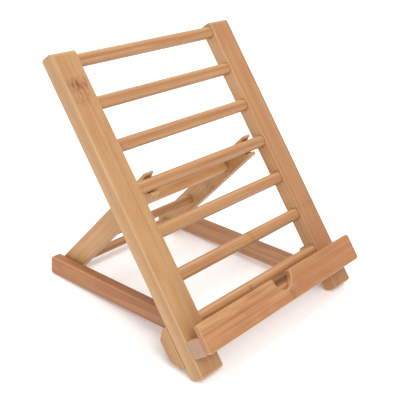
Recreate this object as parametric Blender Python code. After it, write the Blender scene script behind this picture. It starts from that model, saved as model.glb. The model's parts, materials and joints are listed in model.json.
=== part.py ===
"""Folding bamboo stand for a photo album or a book.

Three frames of slats and dowels. The front frame is a ladder of seven rungs between
two stiles, with a shelf and a lip at its foot. The base frame lies on the table and
turns on a dowel held in two blocks behind the stiles. The prop frame turns on a
dowel at the back of the base frame, and its forked arms hook the middle rung.

World frame: +X to the reader's right, +Y away from the reader, +Z up. The table is
at Z = 0, and the origin lies on it under the middle of the open stand. Each frame
hangs on an empty that stands on its own turning axis.
In the front frame's empty +Z runs up the stiles and -Y faces the reader; in the
base frame's +Y runs along the rails to the back; in the prop frame's +Z runs
along the arms to the fork and +Y is their upper side.
"""
import math

import bmesh
import bpy
from mathutils import Matrix, Vector

# Air between pieces that are glued, seated or threaded on each other
GAP = 0.0003

# Front frame
STAND_WIDTH = 0.240
RUNG_COUNT = 7
RUNG_DIAMETER = 0.0118
STILE_CHEEK = 0.0013
STILE_THICKNESS = RUNG_DIAMETER + 2 * STILE_CHEEK
STILE_WIDTH = 0.0282
STILE_LENGTH = 0.2930
STILE_EDGE = 0.0016
STILE_TOP_RADIUS = 0.0032
STILE_FOOT_RADIUS = 0.0050
RUNG_PITCH = 0.0401
LOWEST_RUNG_HEIGHT = 0.0437
RUNG_TENON = 0.0080
HOOKED_RUNG = 4

# Shelf and lip
SHELF_DEPTH = 0.0146
SHELF_THICKNESS = 0.0162
SHELF_HEIGHT = 0.0175
SHELF_EDGE = 0.0010
LIP_THICKNESS = 0.0052
LIP_HEIGHT = 0.0262
LIP_CORNER_RADIUS = 0.0030
LIP_EDGE = 0.0012
NOTCH_RADIUS = 0.0130
NOTCH_EASE = 0.0015

# Pivot blocks and the dowels that the frames turn on
BLOCK_LENGTH = 0.0380
BLOCK_DEPTH = 0.0134
BLOCK_SET_BACK = 0.0005       # the block's middle lies this far behind the axle
BLOCK_TOP_CHAMFER = 0.0085
BLOCK_FOOT_CHAMFER = 0.0098
BLOCK_CHAMFER_RADIUS = 0.0035
BLOCK_EDGE = 0.0012
PIVOT_HEIGHT = 0.0315
AXLE_DIAMETER = 0.0086
AXLE_SEAT = 0.0140

# Base frame
RAIL_THICKNESS = 0.0110
RAIL_HEIGHT = 0.0178
RAIL_SPAN = 0.1656
RAIL_FRONT_END = 0.0095
RAIL_REAR_END = 0.0126
RAIL_CORNER_RADIUS = 0.0050
RAIL_TAIL_RADIUS = 0.0030
RAIL_EDGE = 0.0015
RAIL_SIDE_PLAY = 0.0028
RAIL_SEAT = 0.0070

# Prop frame
FORK_PLAY = 0.0004
JAW_WALL = 0.0035
ARM_HEIGHT = RUNG_DIAMETER + 2 * (FORK_PLAY + JAW_WALL)
ARM_THICKNESS = 0.0110
ARM_SPAN = 0.1472
ARM_REAR_END = 0.0083
ARM_REAR_RADIUS = 0.0060
ARM_HEEL_RADIUS = 0.0096
ARM_EDGE = 0.0008
ARM_SIDE_PLAY = 0.0011
ARM_SEAT = 0.0060
HOOK_REACH = 0.0055
HOOK_TIP = 0.0020
HOOK_TIP_RADIUS = 0.0010
MOUTH_START = 0.0006
MOUTH_RADIUS = 0.0030
JAW_SETBACK = 0.0010
JAW_RADIUS = 0.0012
SPACER_DISTANCE = 0.0488
CROSSBAR_THICKNESS = 0.0100
CROSSBAR_HEIGHT = 0.0145
CROSSBAR_SETBACK = 0.0310
CROSSBAR_EDGE = 0.0012

# Facets
ROUND_SIDES = 28
ARC_STEP = math.radians(18.0)
EDGE_STEPS = 2
DOWEL_EASE = 0.0004
CUT_MARGIN = 0.0020
SMOOTH_ANGLE = math.radians(40.0)
WELD_DISTANCE = 0.000001
FLAT_ANGLE = math.radians(0.1)

# Colour as linear RGB, and roughness, of each finish
STILE_FINISH = ((0.560, 0.330, 0.150), 0.50)
RUNG_FINISH = ((0.520, 0.280, 0.115), 0.46)
LEDGE_FINISH = ((0.540, 0.295, 0.125), 0.50)
BASE_FINISH = ((0.450, 0.225, 0.085), 0.52)
PROP_FINISH = ((0.480, 0.250, 0.100), 0.50)

# Places that follow from the sizes
STILE_X = STAND_WIDTH / 2 - STILE_WIDTH / 2
STILE_INNER_X = STAND_WIDTH / 2 - STILE_WIDTH
BLOCK_FACE_Y = BLOCK_SET_BACK - BLOCK_DEPTH / 2
STILE_REAR_Y = BLOCK_FACE_Y - GAP
STILE_FRONT_Y = STILE_REAR_Y - STILE_THICKNESS
FOOT_Z = -PIVOT_HEIGHT
RUNG_Y = STILE_REAR_Y - STILE_THICKNESS / 2
SHELF_REAR_Y = STILE_FRONT_Y - GAP
SHELF_FRONT_Y = SHELF_REAR_Y - SHELF_DEPTH
SHELF_UNDER_Z = FOOT_Z + SHELF_HEIGHT
LIP_REAR_Y = SHELF_FRONT_Y - GAP
RAIL_OUTER_X = STILE_INNER_X - RAIL_SIDE_PLAY
RAIL_X = RAIL_OUTER_X - RAIL_THICKNESS / 2
RAIL_INNER_X = RAIL_OUTER_X - RAIL_THICKNESS
ARM_OUTER_X = RAIL_INNER_X - ARM_SIDE_PLAY
ARM_X = ARM_OUTER_X - ARM_THICKNESS / 2
ARM_INNER_X = ARM_OUTER_X - ARM_THICKNESS
SIDES = (("left", -1.0), ("right", 1.0))


def rung_z(number):
    """Height of a rung's centre up the stile, rung 1 being the top one."""
    return FOOT_Z + LOWEST_RUNG_HEIGHT + (RUNG_COUNT - number) * RUNG_PITCH


def rotated(point, angle):
    """Turn a (y, z) point about the origin."""
    c, s = math.cos(angle), math.sin(angle)
    return (c * point[0] - s * point[1], s * point[0] + c * point[1])


def corner_angle(near_a, near_b, far):
    """Angle of a triangle between the two sides that meet, by the law of cosines."""
    return math.acos((near_a ** 2 + near_b ** 2 - far ** 2) / (2 * near_a * near_b))


def stand_pose():
    """Turns of the three frames about X, and the height of the front axis.

    The hooked rung closes a triangle with the two axes. The stand then rests on
    the rounded heels of its stiles and the rear corners of its rails.
    """
    rung = (RUNG_Y, rung_z(HOOKED_RUNG))
    reach = math.hypot(*rung)
    at_front = corner_angle(reach, RAIL_SPAN, ARM_SPAN)
    at_rear = corner_angle(ARM_SPAN, RAIL_SPAN, reach)
    front_turn = at_front - math.atan2(rung[1], rung[0])
    prop_turn = math.pi / 2 - at_rear
    heel = rotated((STILE_REAR_Y - STILE_FOOT_RADIUS, FOOT_Z + STILE_FOOT_RADIUS), front_turn)
    tail = (RAIL_SPAN + RAIL_REAR_END - RAIL_CORNER_RADIUS, RAIL_CORNER_RADIUS - RAIL_HEIGHT / 2)
    run, rise = tail[0] - heel[0], tail[1] - heel[1]
    radius_step = (RAIL_CORNER_RADIUS - STILE_FOOT_RADIUS) / math.hypot(run, rise)
    base_turn = math.asin(radius_step) - math.atan2(rise, run)
    axis_height = STILE_FOOT_RADIUS - rotated(heel, base_turn)[1]
    return front_turn + base_turn, base_turn, prop_turn + base_turn, axis_height


def clear_scene():
    """Remove every object of the scene."""
    for item in list(bpy.data.objects):
        bpy.data.objects.remove(item, do_unlink=True)


def new_collection(name):
    """Collection of the scene, by name."""
    collection = bpy.data.collections.new(name)
    bpy.context.scene.collection.children.link(collection)
    return collection


def finish_material(name, finish):
    """Bamboo finish of one piece."""
    colour, roughness = finish
    material = bpy.data.materials.new(name + "_bamboo")
    material.use_nodes = True
    shader = material.node_tree.nodes["Principled BSDF"]
    shader.inputs["Base Color"].default_value = (*colour, 1.0)
    shader.inputs["Roughness"].default_value = roughness
    shader.inputs["Metallic"].default_value = 0.0
    return material


def axis_empty(name, parts, height_y_z, turn):
    """Empty on a turning axis, turned about X."""
    empty = bpy.data.objects.new(name, None)
    empty.location = (0.0, *height_y_z)
    empty.rotation_euler = (turn, 0.0, 0.0)
    parts.objects.link(empty)
    return empty


def rounded_outline(corners):
    """Closed outline of (u, v) points from (u, v, radius) corners, arcs in steps."""
    points = []
    count = len(corners)
    for index, (u, v, radius) in enumerate(corners):
        here = Vector((u, v))
        before = (Vector(corners[index - 1][:2]) - here).normalized()
        after = (Vector(corners[(index + 1) % count][:2]) - here).normalized()
        half = before.angle(after) / 2
        centre = here + (before + after).normalized() * radius / math.sin(half)
        start = here + before * radius / math.tan(half) - centre
        end = here + after * radius / math.tan(half) - centre
        sweep = start.angle_signed(end)
        steps = max(2, math.ceil(abs(sweep) / ARC_STEP))
        for step in range(steps + 1):
            points.append(centre + Matrix.Rotation(-sweep * step / steps, 2) @ start)
    return points


def outline_mesh(name, outline, thickness, axes):
    """Mesh of an outline drawn in a plane and extruded along that plane's normal."""
    curve = bpy.data.curves.new(name, "CURVE")
    curve.dimensions = "2D"
    curve.fill_mode = "BOTH"
    curve.extrude = thickness / 2
    spline = curve.splines.new("POLY")
    spline.points.add(len(outline) - 1)
    for point, place in zip(spline.points, outline):
        point.co = (place.x, place.y, 0.0, 1.0)
    spline.use_cyclic_u = True
    source = bpy.data.objects.new(name, curve)
    bpy.context.scene.collection.objects.link(source)
    bpy.context.view_layer.update()
    evaluated = source.evaluated_get(bpy.context.evaluated_depsgraph_get())
    mesh = bpy.data.meshes.new_from_object(evaluated)
    bpy.data.objects.remove(source, do_unlink=True)
    bpy.data.curves.remove(curve)
    mesh.transform(axes)
    return mesh


def ease_rims(mesh, normal, width):
    """Weld a slat and round the edges all round its two broad faces."""
    build = bmesh.new()
    build.from_mesh(mesh)
    bmesh.ops.remove_doubles(build, verts=build.verts, dist=WELD_DISTANCE)
    bmesh.ops.dissolve_limit(
        build, angle_limit=FLAT_ANGLE, verts=build.verts, edges=build.edges
    )
    bmesh.ops.recalc_face_normals(build, faces=build.faces)
    rims = [
        edge
        for edge in build.edges
        if len({round(abs(face.normal.dot(normal)), 2) for face in edge.link_faces}) == 2
    ]
    bmesh.ops.bevel(
        build, geom=rims, offset=width, segments=EDGE_STEPS, profile=0.5, affect="EDGES"
    )
    build.to_mesh(mesh)
    build.free()


def add_piece(name, mesh, parts, parent, location, finish):
    """Named object of a mesh, in its frame's empty, with its own material."""
    mesh.name = name
    mesh.shade_smooth()
    mesh.set_sharp_from_angle(angle=SMOOTH_ANGLE)
    piece = bpy.data.objects.new(name, mesh)
    piece.parent = parent
    piece.location = location
    mesh.materials.clear()
    mesh.materials.append(finish_material(name, finish))
    parts.objects.link(piece)
    return piece


def side_slat(name, corners, thickness, edge, parts, parent, location, finish):
    """Slat whose outline lies in the Y-Z plane, extruded across the stand."""
    side_axes = Matrix(((0, 0, 1, 0), (1, 0, 0, 0), (0, 1, 0, 0), (0, 0, 0, 1)))
    mesh = outline_mesh(name, rounded_outline(corners), thickness, side_axes)
    ease_rims(mesh, Vector((1.0, 0.0, 0.0)), edge)
    return add_piece(name, mesh, parts, parent, location, finish)


def front_slat(name, corners, thickness, edge, parts, parent, location, finish):
    """Slat whose outline lies in the X-Z plane, extruded front to back."""
    front_axes = Matrix(((1, 0, 0, 0), (0, 0, -1, 0), (0, 1, 0, 0), (0, 0, 0, 1)))
    mesh = outline_mesh(name, rounded_outline(corners), thickness, front_axes)
    ease_rims(mesh, Vector((0.0, 1.0, 0.0)), edge)
    return add_piece(name, mesh, parts, parent, location, finish)


def rod_mesh(name, diameter, length, ease):
    """Mesh of a round bar along X, its ends eased."""
    build = bmesh.new()
    bmesh.ops.create_cone(
        build,
        cap_ends=True,
        segments=ROUND_SIDES,
        radius1=diameter / 2,
        radius2=diameter / 2,
        depth=length,
        matrix=Matrix.Rotation(math.pi / 2, 4, "Y"),
    )
    if ease > 0.0:
        rims = [
            edge
            for edge in build.edges
            if any(abs(face.normal.x) > 0.9 for face in edge.link_faces)
        ]
        bmesh.ops.bevel(build, geom=rims, offset=ease, segments=1, affect="EDGES")
    mesh = bpy.data.meshes.new(name)
    build.to_mesh(mesh)
    build.free()
    return mesh


def add_dowel(name, diameter, length, parts, parent, location, finish):
    """Dowel along X."""
    mesh = rod_mesh(name, diameter, length, DOWEL_EASE)
    return add_piece(name, mesh, parts, parent, location, finish)


def bore(piece, name, diameter, depth, cutters, location):
    """Cut a round hole along X, centred at a place in the piece's own frame."""
    cutter = bpy.data.objects.new(name, rod_mesh(name, diameter, depth, 0.0))
    cutter.parent = piece
    cutter.location = location
    cutter.hide_render = True
    cutter.display_type = "WIRE"
    cutters.objects.link(cutter)
    cut = piece.modifiers.new(name, "BOOLEAN")
    cut.operation = "DIFFERENCE"
    cut.object = cutter


def blind_bore(piece, name, diameter, depth, cutters, face_x, side, y, z):
    """Cut a blind hole into a side face, from the side nearer the middle."""
    length = depth + GAP + CUT_MARGIN
    centre = face_x + side * (length / 2 - CUT_MARGIN)
    bore(piece, name, diameter + 2 * GAP, length, cutters, (centre, y, z))


def add_stile(label, side, parts, cutters, front):
    """Upright of the front frame, with a blind hole for each rung."""
    top = FOOT_Z + STILE_LENGTH
    corners = (
        (STILE_FRONT_Y, FOOT_Z, STILE_TOP_RADIUS),
        (STILE_REAR_Y, FOOT_Z, STILE_FOOT_RADIUS),
        (STILE_REAR_Y, top, STILE_TOP_RADIUS),
        (STILE_FRONT_Y, top, STILE_TOP_RADIUS),
    )
    stile = side_slat(
        f"stile_{label}", corners, STILE_WIDTH, STILE_EDGE, parts, front,
        (side * STILE_X, 0.0, 0.0), STILE_FINISH,
    )
    for number in range(1, RUNG_COUNT + 1):
        blind_bore(
            stile, f"rung_hole_{label}_{number}", RUNG_DIAMETER, RUNG_TENON, cutters,
            -side * STILE_WIDTH / 2, side, RUNG_Y, rung_z(number),
        )


def add_rungs(parts, front):
    """Seven dowels between the stiles, each seated in both."""
    length = 2 * (STILE_INNER_X + RUNG_TENON)
    for number in range(1, RUNG_COUNT + 1):
        place = (0.0, RUNG_Y, rung_z(number))
        add_dowel(f"rung_{number}", RUNG_DIAMETER, length, parts, front, place, RUNG_FINISH)


def add_pivot_block(label, side, parts, cutters, front):
    """Block glued behind a stile, which holds one end of the front axle."""
    half = BLOCK_LENGTH / 2
    near, far = BLOCK_FACE_Y, BLOCK_FACE_Y + BLOCK_DEPTH
    corners = (
        (near, -half, BLOCK_EDGE + GAP),
        (near + BLOCK_DEPTH - BLOCK_FOOT_CHAMFER, -half, BLOCK_CHAMFER_RADIUS),
        (far, -half + BLOCK_FOOT_CHAMFER, BLOCK_CHAMFER_RADIUS),
        (far, half - BLOCK_TOP_CHAMFER, BLOCK_CHAMFER_RADIUS),
        (near + BLOCK_DEPTH - BLOCK_TOP_CHAMFER, half, BLOCK_CHAMFER_RADIUS),
        (near, half, BLOCK_EDGE + GAP),
    )
    block = side_slat(
        f"pivot_block_{label}", corners, STILE_WIDTH, BLOCK_EDGE, parts, front,
        (side * STILE_X, 0.0, 0.0), STILE_FINISH,
    )
    blind_bore(
        block, f"front_axle_hole_{label}", AXLE_DIAMETER, AXLE_SEAT, cutters,
        -side * STILE_WIDTH / 2, side, 0.0, 0.0,
    )


def add_shelf(parts, front):
    """Full-width bar across the front of the stiles, on which a book stands."""
    top = SHELF_UNDER_Z + SHELF_THICKNESS
    corners = (
        (SHELF_FRONT_Y, SHELF_UNDER_Z, SHELF_EDGE + GAP),
        (SHELF_REAR_Y, SHELF_UNDER_Z, SHELF_EDGE + GAP),
        (SHELF_REAR_Y, top, SHELF_EDGE + GAP),
        (SHELF_FRONT_Y, top, SHELF_EDGE + GAP),
    )
    side_slat(
        "ledge_shelf", corners, STAND_WIDTH, SHELF_EDGE, parts, front,
        (0.0, 0.0, 0.0), LEDGE_FINISH,
    )


def add_lip(parts, front):
    """Thin board along the shelf's front, with a round thumb notch in its top edge."""
    half = STAND_WIDTH / 2
    top = SHELF_UNDER_Z + LIP_HEIGHT
    floor = top - NOTCH_RADIUS - NOTCH_EASE
    corners = (
        (-half, SHELF_UNDER_Z, LIP_CORNER_RADIUS),
        (half, SHELF_UNDER_Z, LIP_CORNER_RADIUS),
        (half, top, LIP_CORNER_RADIUS),
        (NOTCH_RADIUS, top, NOTCH_EASE),
        (NOTCH_RADIUS, floor, NOTCH_RADIUS),
        (-NOTCH_RADIUS, floor, NOTCH_RADIUS),
        (-NOTCH_RADIUS, top, NOTCH_EASE),
        (-half, top, LIP_CORNER_RADIUS),
    )
    front_slat(
        "ledge_lip", corners, LIP_THICKNESS, LIP_EDGE, parts, front,
        (0.0, LIP_REAR_Y - LIP_THICKNESS / 2, 0.0), LEDGE_FINISH,
    )


def add_front_axle(parts, front):
    """Dowel seated in both pivot blocks, on which the rails turn."""
    length = 2 * (STILE_INNER_X + AXLE_SEAT)
    add_dowel(
        "front_axle", AXLE_DIAMETER, length, parts, front, (0.0, 0.0, 0.0), RUNG_FINISH
    )


def add_rail(label, side, parts, cutters, base):
    """Rail of the base frame, threaded on the front axle and holding the rear one."""
    half = RAIL_HEIGHT / 2
    rear = RAIL_SPAN + RAIL_REAR_END
    corners = (
        (-RAIL_FRONT_END, -half, RAIL_CORNER_RADIUS),
        (rear, -half, RAIL_CORNER_RADIUS),
        (rear, half, RAIL_TAIL_RADIUS),
        (-RAIL_FRONT_END, half, RAIL_CORNER_RADIUS),
    )
    rail = side_slat(
        f"base_rail_{label}", corners, RAIL_THICKNESS, RAIL_EDGE, parts, base,
        (side * RAIL_X, 0.0, 0.0), BASE_FINISH,
    )
    bore(
        rail, f"rail_pivot_hole_{label}", AXLE_DIAMETER + 2 * GAP,
        RAIL_THICKNESS + 2 * CUT_MARGIN, cutters, (0.0, 0.0, 0.0),
    )
    blind_bore(
        rail, f"rear_axle_hole_{label}", AXLE_DIAMETER, RAIL_SEAT, cutters,
        -side * RAIL_THICKNESS / 2, side, RAIL_SPAN, 0.0,
    )


def add_rear_axle(parts, base):
    """Dowel seated in both rails, on which the prop arms turn."""
    length = 2 * (RAIL_INNER_X + RAIL_SEAT)
    place = (0.0, RAIL_SPAN, 0.0)
    add_dowel("rear_axle", AXLE_DIAMETER, length, parts, base, place, BASE_FINISH)


def add_arm(label, side, parts, cutters, prop):
    """Forked arm of the prop frame, threaded on the rear axle.

    The fork's upper jaw hooks over the rung and flares at its mouth; the lower jaw
    stops short of the rung's centre. The heel is rounded enough to clear the table.
    """
    half = ARM_HEIGHT / 2
    slot = RUNG_DIAMETER / 2 + FORK_PLAY
    floor = ARM_SPAN - slot
    hook_tip = ARM_SPAN + HOOK_REACH
    jaw_tip = ARM_SPAN - JAW_SETBACK
    corners = (
        (-half, -ARM_REAR_END, ARM_HEEL_RADIUS),
        (half, -ARM_REAR_END, ARM_REAR_RADIUS),
        (half, hook_tip, HOOK_TIP_RADIUS),
        (half - HOOK_TIP, hook_tip, HOOK_TIP_RADIUS),
        (slot, ARM_SPAN + MOUTH_START, MOUTH_RADIUS),
        (slot, floor, slot),
        (-slot, floor, jaw_tip - floor - JAW_RADIUS),
        (-slot, jaw_tip, JAW_RADIUS),
        (-half, jaw_tip, JAW_RADIUS),
    )
    arm = side_slat(
        f"prop_arm_{label}", corners, ARM_THICKNESS, ARM_EDGE, parts, prop,
        (side * ARM_X, 0.0, 0.0), PROP_FINISH,
    )
    bore(
        arm, f"arm_pivot_hole_{label}", AXLE_DIAMETER + 2 * GAP,
        ARM_THICKNESS + 2 * CUT_MARGIN, cutters, (0.0, 0.0, 0.0),
    )
    blind_bore(
        arm, f"spacer_hole_{label}", AXLE_DIAMETER, ARM_SEAT, cutters,
        -side * ARM_THICKNESS / 2, side, 0.0, SPACER_DISTANCE,
    )


def add_spacer(parts, prop):
    """Dowel that holds the two arms apart, seated in both."""
    length = 2 * (ARM_INNER_X + ARM_SEAT)
    place = (0.0, 0.0, SPACER_DISTANCE)
    add_dowel("prop_spacer_dowel", AXLE_DIAMETER, length, parts, prop, place, PROP_FINISH)


def add_crossbar(parts, prop):
    """Slat between the arms just behind the fork, level with their upper edges."""
    front = ARM_SPAN - CROSSBAR_SETBACK
    back = front - CROSSBAR_THICKNESS
    upper = ARM_HEIGHT / 2
    lower = upper - CROSSBAR_HEIGHT
    radius = CROSSBAR_EDGE + GAP
    corners = (
        (lower, back, radius),
        (upper, back, radius),
        (upper, front, radius),
        (lower, front, radius),
    )
    side_slat(
        "prop_crossbar", corners, 2 * (ARM_INNER_X - GAP), CROSSBAR_EDGE, parts, prop,
        (0.0, 0.0, 0.0), PROP_FINISH,
    )


def centre_on_origin(parts, axes):
    """Slide the stand along Y so that the middle of its depth is at the origin."""
    bpy.context.view_layer.update()
    depths = [
        (piece.matrix_world @ vertex.co).y
        for piece in parts.objects
        if piece.type == "MESH"
        for vertex in piece.data.vertices
    ]
    middle = (min(depths) + max(depths)) / 2
    for axis in axes:
        axis.location.y -= middle


def build_stand():
    """Model the whole stand in its open position."""
    clear_scene()
    parts = new_collection("photo_album_stand")
    cutters = new_collection("cutters")
    front_turn, base_turn, prop_turn, axis_height = stand_pose()
    front = axis_empty("front_frame_axis", parts, (0.0, axis_height), front_turn)
    base = axis_empty("base_frame_axis", parts, (0.0, axis_height), base_turn)
    rear_run, rear_rise = rotated((RAIL_SPAN, 0.0), base_turn)
    prop = axis_empty("prop_frame_axis", parts, (rear_run, axis_height + rear_rise), prop_turn)
    for label, side in SIDES:
        add_stile(label, side, parts, cutters, front)
        add_pivot_block(label, side, parts, cutters, front)
        add_rail(label, side, parts, cutters, base)
        add_arm(label, side, parts, cutters, prop)
    add_rungs(parts, front)
    add_shelf(parts, front)
    add_lip(parts, front)
    add_front_axle(parts, front)
    add_rear_axle(parts, base)
    add_spacer(parts, prop)
    add_crossbar(parts, prop)
    centre_on_origin(parts, (front, base, prop))
    bpy.context.view_layer.update()


build_stand()
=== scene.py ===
"""Looks of a folding bamboo stand for an album or a book.

Three frames of slats and dowels carry the stand: the front frame with its ledge, the
base frame and the prop frame. Every piece is modelled in the axes of its own frame, in
which the slats lie straight, and is then turned into place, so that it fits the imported
model. The bamboo is a family of finishes that differ in tone, streaks and knuckles.
"""
import json
import logging
import math
from dataclasses import dataclass, field
from enum import Enum
from typing import Callable

import bmesh
import bpy
from mathutils import Matrix, Vector


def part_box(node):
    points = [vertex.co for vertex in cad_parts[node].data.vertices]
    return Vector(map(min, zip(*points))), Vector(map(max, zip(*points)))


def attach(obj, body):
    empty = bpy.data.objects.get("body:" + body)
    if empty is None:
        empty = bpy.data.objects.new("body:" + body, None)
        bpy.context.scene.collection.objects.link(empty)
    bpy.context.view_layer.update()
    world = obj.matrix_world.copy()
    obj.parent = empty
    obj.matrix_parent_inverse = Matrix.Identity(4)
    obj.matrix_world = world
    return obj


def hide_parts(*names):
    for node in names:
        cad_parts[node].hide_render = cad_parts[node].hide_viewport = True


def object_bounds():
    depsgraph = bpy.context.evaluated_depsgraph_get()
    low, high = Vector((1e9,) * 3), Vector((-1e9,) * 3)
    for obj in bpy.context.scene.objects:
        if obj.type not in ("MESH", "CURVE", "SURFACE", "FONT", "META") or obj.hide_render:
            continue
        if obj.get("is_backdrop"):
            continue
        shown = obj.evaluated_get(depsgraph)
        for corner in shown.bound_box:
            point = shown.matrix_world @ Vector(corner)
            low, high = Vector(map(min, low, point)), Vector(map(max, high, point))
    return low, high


LOG = logging.getLogger("album_stand")
SIDES = ("left", "right")
# Sign of X on the outer side of each side's pieces.
OUTWARD = {"left": -1.0, "right": 1.0}
# Lengths here and below are in metres.
SAME_PLACE = 1e-5
# A face is square to an axis when its normal has more than this along it.
SQUARE_ON = 0.9
ROUND_PROFILE = 0.5
ROUND_SEGMENTS = 7
RIM_SEGMENTS = 4
EASE_SEGMENTS = 3
DOWEL_SIDES = 64
DOWEL_SPANS = 12
DOWEL_EASE = 0.0007
HOLE_PLAY = 0.00025
CUT_MARGIN = 0.002
GLUE_REACH = 0.00022
# Where two arcs of an outline would meet in one point, one of them is made smaller by
# this share or this spare part, so that they stay apart.
ARC_SHARE = 0.999
ARC_SPARE = 0.01
CREASE_ANGLE = math.radians(38.0)
# Rubbed wear, with a painted highlight on the rounded edges, starts where the largest part
# of a normal falls below its start, and is full where that part has fallen by its reach.
WEAR_HIGHLIGHT_START = 0.99
WEAR_HIGHLIGHT_REACH = 0.25
# End grain starts to show at the first distance from an end and is full at the second.
END_FADE = 0.0010
END_DEPTH = 0.0003

Colour = tuple[float, float, float]
Corner = tuple[float, float, float]


def paint(red: int, green: int, blue: int) -> Colour:
    """Linear colour of a paint card read in 0 to 255.

    Args:
        red: Red reading.
        green: Green reading.
        blue: Blue reading.

    Returns:
        The colour in linear light.
    """
    channels = (red / 255.0, green / 255.0, blue / 255.0)
    return tuple(((channel + 0.055) / 1.055) ** 2.4 for channel in channels)


class Grain(Enum):
    """Axis of its frame along which a piece's fibres run."""

    ACROSS = 0
    BACK = 1
    UP = 2


class Plane(Enum):
    """Plane in which a board's outline is drawn, named by the axis square to it."""

    SIDE = 0
    FRONT = 1


@dataclass(frozen=True)
class Axes:
    """Own axes of one frame: the point that it turns on and its turn about X."""

    origin: Vector
    turn: float

    def matrix(self) -> Matrix:
        """Place of the frame's axes in the row frame."""
        return Matrix.Translation(self.origin) @ Matrix.Rotation(self.turn, 4, "X")

    def box(self, node: str) -> tuple[Vector, Vector]:
        """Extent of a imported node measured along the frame's own axes.

        Args:
            node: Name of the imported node.

        Returns:
            The lowest and the highest corner.
        """
        inverse = self.matrix().inverted()
        points = [inverse @ vertex.co for vertex in frame["nodes"][node].data.vertices]
        low = Vector(min(point[axis] for point in points) for axis in range(3))
        high = Vector(max(point[axis] for point in points) for axis in range(3))
        return low, high

    def centre(self, node: str) -> Vector:
        """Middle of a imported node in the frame's own axes."""
        low, high = self.box(node)
        return (low + high) / 2


# ---------------------------------------------------------------- modelling


def deselect() -> None:
    """Leave nothing selected, so that an operator meets only the new piece."""
    for item in bpy.context.selected_objects:
        item.select_set(False)


def start_editing(piece: bpy.types.Object) -> None:
    """Open a piece in edit mode, alone.

    Args:
        piece: The mesh object to shape.
    """
    deselect()
    piece.select_set(True)
    bpy.context.view_layer.objects.active = piece
    bpy.ops.object.mode_set(mode="EDIT")
    bpy.ops.mesh.select_mode(type="VERT")


def stop_editing() -> None:
    """Close edit mode."""
    bpy.ops.object.mode_set(mode="OBJECT")


def pick_points(piece: bpy.types.Object, test: Callable[[bmesh.types.BMVert], bool]) -> None:
    """Select the vertices that pass a test.

    Args:
        piece: The mesh in edit mode.
        test: Says whether a vertex is wanted.
    """
    bpy.ops.mesh.select_mode(type="VERT")
    bpy.ops.mesh.select_all(action="DESELECT")
    sketch = bmesh.from_edit_mesh(piece.data)
    for vertex in sketch.verts:
        vertex.select_set(test(vertex))
    sketch.select_flush_mode()
    bmesh.update_edit_mesh(piece.data)


def pick_edges(piece: bpy.types.Object, test: Callable[[bmesh.types.BMEdge], bool]) -> None:
    """Select the edges that pass a test.

    Args:
        piece: The mesh in edit mode.
        test: Says whether an edge is wanted.
    """
    bpy.ops.mesh.select_mode(type="EDGE")
    bpy.ops.mesh.select_all(action="DESELECT")
    sketch = bmesh.from_edit_mesh(piece.data)
    for edge in sketch.edges:
        edge.select_set(test(edge))
    bmesh.update_edit_mesh(piece.data)


def corner_cut(before: Corner, here: Corner, after: Corner) -> float:
    """Length that a rounded corner takes off each of its two sides.

    Args:
        before: The corner before it.
        here: The rounded corner, its third number the radius.
        after: The corner after it.

    Returns:
        The distance from the corner to where the arc starts.
    """
    to_before = Vector(before[:2]) - Vector(here[:2])
    to_after = Vector(after[:2]) - Vector(here[:2])
    return here[2] / math.tan(to_before.angle(to_after) / 2)


def rectangle(low: Vector, high: Vector, radius: float) -> list[Corner]:
    """Outline of a straight bar seen along X, its four corners rounded alike.

    Args:
        low: Lowest corner of the bar.
        high: Highest corner.
        radius: Radius of the four corners.

    Returns:
        The outline's corners, each as (y, z, radius).
    """
    return [
        (low.y, low.z, radius),
        (high.y, low.z, radius),
        (high.y, high.z, radius),
        (low.y, high.z, radius),
    ]


def board(
    name: str, corners: list[Corner], plane: Plane, low: float, high: float, rim: float,
    crisp: Callable[[Vector], bool] = lambda place: False,
) -> bpy.types.Object:
    """Flat board with a rounded outline and softened rims.

    A filled polygon with one vertex for each corner is dragged to the outline, its
    corners are rounded one by one, and it is extruded to the board's thickness.

    Args:
        name: Name of the piece.
        corners: Outline as (u, v, radius); u and v are the plane's two axes.
        plane: The plane that the outline is drawn in.
        low: Where the board starts along the plane's normal.
        high: Where it ends.
        rim: Radius of the softened edges of the two broad faces.
        crisp: Says of a place on a rim whether the rim stays sharp there.

    Returns:
        The board, in its frame's own axes.
    """
    deselect()
    bpy.ops.mesh.primitive_circle_add(vertices=len(corners), radius=1.0, fill_type="NGON")
    piece = bpy.context.active_object
    piece.name = name
    piece.data.name = name
    places = [
        Vector((low, u, v)) if plane is Plane.SIDE else Vector((u, low, v))
        for u, v, _ in corners
    ]
    starts = [vertex.co.copy() for vertex in piece.data.vertices]
    start_editing(piece)
    for start, place in zip(starts, places):
        pick_points(piece, lambda vertex: (vertex.co - start).length < SAME_PLACE)
        bpy.ops.transform.translate(value=place - start)
    for index, (here, place) in enumerate(zip(corners, places)):
        cut = corner_cut(corners[index - 1], here, corners[(index + 1) % len(corners)])
        pick_points(piece, lambda vertex: (vertex.co - place).length < SAME_PLACE)
        bpy.ops.mesh.bevel(
            offset_type="OFFSET", offset=cut, segments=ROUND_SEGMENTS,
            profile=ROUND_PROFILE, affect="VERTICES",
        )
    bpy.ops.mesh.select_all(action="SELECT")
    thickness = Vector((0.0, 0.0, 0.0))
    thickness[plane.value] = high - low
    bpy.ops.mesh.extrude_region_move(TRANSFORM_OT_translate={"value": thickness})
    bpy.ops.mesh.select_all(action="SELECT")
    bpy.ops.mesh.normals_make_consistent(inside=False)
    pick_edges(
        piece,
        lambda edge: sorted(
            abs(face.normal[plane.value]) > SQUARE_ON for face in edge.link_faces
        ) == [False, True]
        and not crisp((edge.verts[0].co + edge.verts[1].co) / 2),
    )
    bpy.ops.mesh.bevel(
        offset_type="OFFSET", offset=rim, segments=RIM_SEGMENTS, profile=ROUND_PROFILE,
        affect="EDGES",
    )
    stop_editing()
    return piece


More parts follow.
